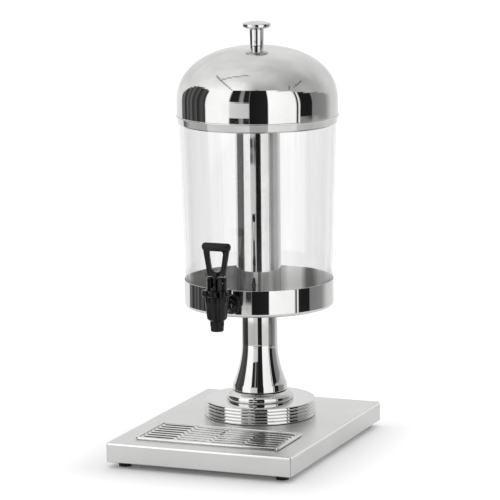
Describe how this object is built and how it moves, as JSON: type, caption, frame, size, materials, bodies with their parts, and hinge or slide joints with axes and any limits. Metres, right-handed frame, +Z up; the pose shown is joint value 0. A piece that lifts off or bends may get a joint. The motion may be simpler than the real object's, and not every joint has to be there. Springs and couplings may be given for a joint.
{
  "type": "juice dispenser",
  "caption": "Pedestal juice dispenser: clear tank in a steel ring, ice tube inside, domed lid with knob, lever tap over a drip tray in the base plate.",
  "frame": {"origin": "on the table, under the middle of the base plate", "axes": "+Z up, -Y towards the user, whom the tap faces, +X to the user's right"},
  "size_m": [0.26, 0.35, 0.5715],
  "materials": {
    "polished_steel": "mirror polished stainless steel",
    "satin_steel": "satin stainless sheet",
    "plain_steel": "plain stainless hardware",
    "clear_plastic": "clear moulded polycarbonate",
    "black_plastic": "glossy black moulded plastic",
    "black_rubber": "matt black rubber",
    "white_silicone": "milky silicone"
  },
  "bodies": {
    "stand": {"base_plate": "satin_steel", "foot_back_left": "black_rubber", "foot_back_right": "black_rubber", "foot_front_left": "black_rubber", "foot_front_right": "black_rubber", "foot_screw_back_left": "plain_steel", "foot_screw_back_right": "plain_steel", "foot_screw_front_left": "plain_steel", "foot_screw_front_right": "plain_steel", "foot_nut_back_left": "plain_steel", "foot_nut_back_right": "plain_steel", "foot_nut_front_left": "plain_steel", "foot_nut_front_right": "plain_steel", "pedestal_plinth": "polished_steel", "pedestal_base": "polished_steel", "pedestal_column": "polished_steel", "tie_rod": "plain_steel", "tie_rod_washer": "plain_steel", "tie_rod_nut": "plain_steel", "support_ring": "polished_steel", "tank": "clear_plastic", "tank_gasket": "white_silicone", "tank_nut": "plain_steel", "tap_body": "black_plastic", "tap_bonnet": "black_plastic", "tap_pivot_pin": "plain_steel", "tap_outer_gasket": "black_rubber", "tap_inner_gasket": "black_rubber", "tap_nut": "black_plastic"},
    "drip_pan": {"drip_tray_pan": "polished_steel"},
    "drip_grate": {"drip_grate": "polished_steel"},
    "ice_tube": {"ice_tube": "polished_steel"},
    "lid": {"lid_dome": "polished_steel", "lid_seat_ring": "plain_steel", "lid_knob": "polished_steel", "knob_washer": "plain_steel", "knob_screw": "plain_steel"},
    "tap_handle": {"tap_handle": "black_plastic"},
    "tap_stem": {"tap_stem": "black_plastic", "tap_seat_cup": "white_silicone"}
  },
  "joints": [
    {"name": "drip_pan_lift", "type": "slide", "parent": "stand", "child": "drip_pan", "axis": [0, 0, 1], "range_m": [0, 0.06]},
    {"name": "drip_grate_lift", "type": "slide", "parent": "drip_pan", "child": "drip_grate", "axis": [0, 0, 1], "range_m": [0, 0.05]},
    {"name": "ice_tube_lift", "type": "slide", "parent": "stand", "child": "ice_tube", "axis": [0, 0, 1], "range_m": [0, 0.25]},
    {"name": "lid_lift", "type": "slide", "parent": "ice_tube", "child": "lid", "axis": [0, 0, 1], "range_m": [0, 0.15]},
    {"name": "tap_handle_tilt", "type": "hinge", "parent": "stand", "child": "tap_handle", "pos_m": [0, -0.1075, 0.24305], "axis": [1, 0, 0], "range_deg": [0, 40], "stiffness_Nm_per_rad": 0.15},
    {"name": "tap_stem_lift", "type": "slide", "parent": "stand", "child": "tap_stem", "axis": [0, 0, 1], "range_m": [0, 0.0043]}
  ],
  "couplings": [
    {"joint": "tap_stem_lift", "follows": "tap_handle_tilt", "m_per_rad": 0.006}
  ]
}
